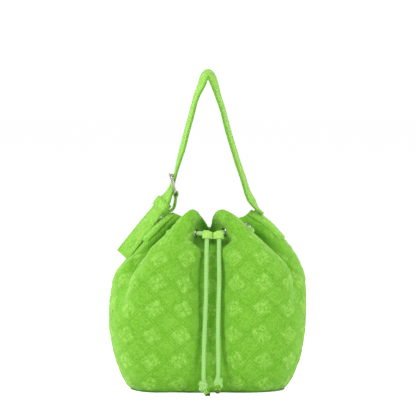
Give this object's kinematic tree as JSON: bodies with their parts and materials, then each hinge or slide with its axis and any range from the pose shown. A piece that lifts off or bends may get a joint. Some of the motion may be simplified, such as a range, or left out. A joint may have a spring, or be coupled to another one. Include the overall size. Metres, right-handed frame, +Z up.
{
  "type": "drawstring bucket bag",
  "caption": "Gathered terry bucket bag with drawcord through eyelets, stitched cord slider, knotted beaded cord ends and a buckled shoulder strap.",
  "frame": {"origin": "on the floor plane under the centre of the base", "axes": "+Z up, -Y the front with the cord ends, +X to the right seen from the front"},
  "size_m": [0.3438, 0.2302, 0.56],
  "materials": {
    "terry_body": "lime green jacquard terry, matt pile",
    "terry_base": "lime green terry, matt pile",
    "terry_strap": "lime green terry, folded and edge stitched",
    "terry_trim": "pale lime terry, matt pile",
    "piping": "lime green woven piping",
    "lining_cloth": "plain woven lining, matt",
    "cord": "round braided cord",
    "bead": "clear lime plastic, polished",
    "eyelet_metal": "bright plated metal",
    "buckle_metal": "satin plated metal"
  },
  "bodies": {
    "bag": {"front_panel": "terry_body", "back_panel": "terry_body", "base_panel": "terry_base", "base_piping": "piping", "lining": "lining_cloth", "eyelet_01": "eyelet_metal", "eyelet_02": "eyelet_metal", "eyelet_03": "eyelet_metal", "eyelet_04": "eyelet_metal", "eyelet_05": "eyelet_metal", "eyelet_06": "eyelet_metal", "eyelet_07": "eyelet_metal", "eyelet_08": "eyelet_metal", "eyelet_09": "eyelet_metal", "eyelet_10": "eyelet_metal", "eyelet_11": "eyelet_metal", "eyelet_12": "eyelet_metal", "drawcord_loop": "cord", "strap_end_left": "terry_strap", "strap_end_right": "terry_strap"},
    "cord_tails": {"cord_tail_left": "cord", "cord_tail_right": "cord", "cord_bead_left": "bead", "cord_bead_right": "bead", "bead_ring_left": "eyelet_metal", "bead_ring_right": "eyelet_metal"},
    "slider": {"cord_slider": "terry_trim"},
    "strap": {"shoulder_strap": "terry_strap", "anchor_strap": "terry_strap"},
    "keeper": {"keeper_loop": "terry_strap"},
    "buckle": {"buckle_frame": "buckle_metal"},
    "prong": {"buckle_prong": "buckle_metal"}
  },
  "joints": [
    {"name": "strap_swing", "type": "hinge", "parent": "bag", "child": "strap", "pos_m": [0.00775, 0, 0.3315], "axis": [0.9993, 0, 0.0369], "range_deg": [-45, 45]},
    {"name": "buckle_tip", "type": "hinge", "parent": "strap", "child": "buckle", "pos_m": [-0.0555, 0, 0.341], "axis": [0, -1, 0], "range_deg": [0, 6]},
    {"name": "prong_lift", "type": "hinge", "parent": "buckle", "child": "prong", "pos_m": [-0.0555, 0, 0.341], "axis": [0, -1, 0], "range_deg": [0, 10]},
    {"name": "keeper_slide", "type": "slide", "parent": "strap", "child": "keeper", "axis": [-0.636, 0, -0.7717], "range_m": [-0.001, 0.008]},
    {"name": "cord_swing", "type": "hinge", "parent": "bag", "child": "cord_tails", "pos_m": [0.00507, -0.05626, 0.27566], "axis": [-0.9995, 0.0034, -0.0325], "range_deg": [0, 40]},
    {"name": "slider_slide", "type": "slide", "parent": "cord_tails", "child": "slider", "axis": [-0.0144, -0.1172, -0.993], "range_m": [0, 0.215]}
  ]
}
